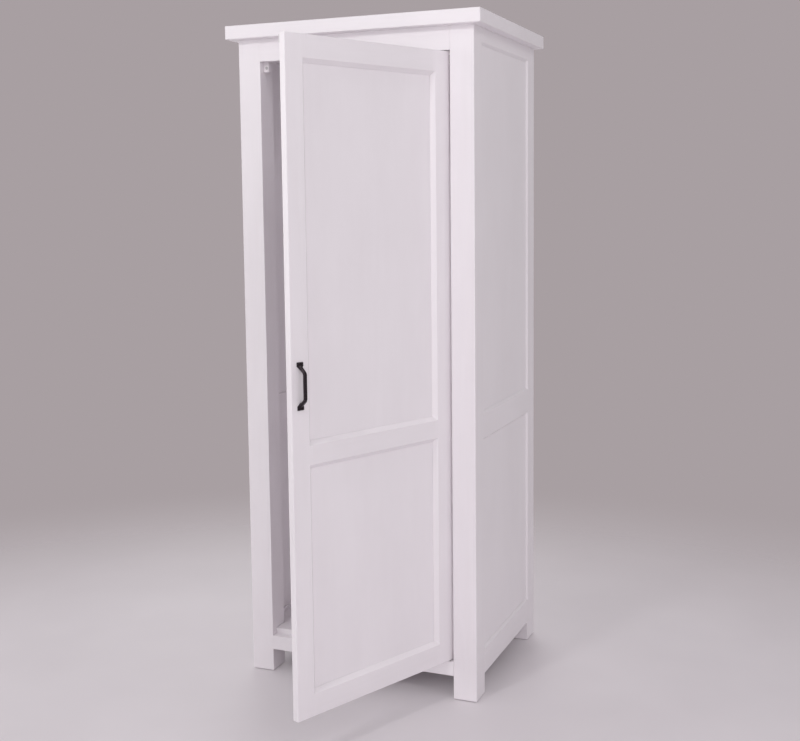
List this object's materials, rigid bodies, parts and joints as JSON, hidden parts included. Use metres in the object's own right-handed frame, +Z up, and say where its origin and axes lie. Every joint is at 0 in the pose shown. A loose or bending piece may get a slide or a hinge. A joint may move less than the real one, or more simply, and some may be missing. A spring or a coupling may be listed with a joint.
{
  "type": "refrigerator housing cabinet",
  "caption": "Tall painted frame-and-panel cabinet on square legs that houses a built-in refrigerator behind one hinged two-panel door with a cast bow pull.",
  "frame": {"origin": "on the floor, under the middle of the carcass between the four posts", "axes": "+Z up, the door's opening faces -Y, +X to the right seen from the front; the door's hinge is at +X"},
  "size_m": [0.784, 1.1283, 1.95],
  "materials": {
    "painted_wood": "satin white paint",
    "batten": "satin white paint",
    "cast_iron": "black wax",
    "steel": "bright"
  },
  "bodies": {
    "carcass": {"back_bearer": "batten", "back_bottom_rail": "painted_wood", "back_left_glide": "steel", "back_left_post": "painted_wood", "back_lower_panel": "painted_wood", "back_middle_rail": "painted_wood", "back_right_glide": "steel", "back_right_post": "painted_wood", "back_top_rail": "painted_wood", "back_upper_panel": "painted_wood", "bottom_board": "painted_wood", "catch_magnet": "steel", "front_bearer": "batten", "front_bottom_rail": "painted_wood", "front_left_glide": "steel", "front_left_post": "painted_wood", "front_right_glide": "steel", "front_right_post": "painted_wood", "front_top_rail": "painted_wood", "left_bearer": "batten", "left_lower_side_panel": "painted_wood", "left_side_bottom_rail": "painted_wood", "left_side_middle_rail": "painted_wood", "left_side_top_rail": "painted_wood", "left_top_cleat": "batten", "left_upper_side_panel": "painted_wood", "lower_pivot_pin": "steel", "lower_pivot_plate": "steel", "pivot_washer": "steel", "right_bearer": "batten", "right_lower_side_panel": "painted_wood", "right_side_bottom_rail": "painted_wood", "right_side_middle_rail": "painted_wood", "right_side_top_rail": "painted_wood", "right_top_cleat": "batten", "right_upper_side_panel": "painted_wood", "stop_block": "batten", "top_board": "painted_wood", "upper_pivot_pin": "steel", "upper_pivot_plate": "steel"},
    "door": {"door_bottom_rail": "painted_wood", "door_free_stile": "painted_wood", "door_hinge_stile": "painted_wood", "door_lower_panel": "painted_wood", "door_middle_rail": "painted_wood", "door_top_rail": "painted_wood", "door_upper_panel": "painted_wood", "handle_screws": "steel", "lower_pivot_leaf": "steel", "pull_handle": "cast_iron", "strike_plate": "steel", "upper_pivot_leaf": "steel"}
  },
  "joints": [
    {"name": "door_hinge", "type": "hinge", "parent": "carcass", "child": "door", "pos_m": [0.279, -0.293, 0.98], "axis": [0, 0, 1], "range_deg": [-67, 43]}
  ]
}
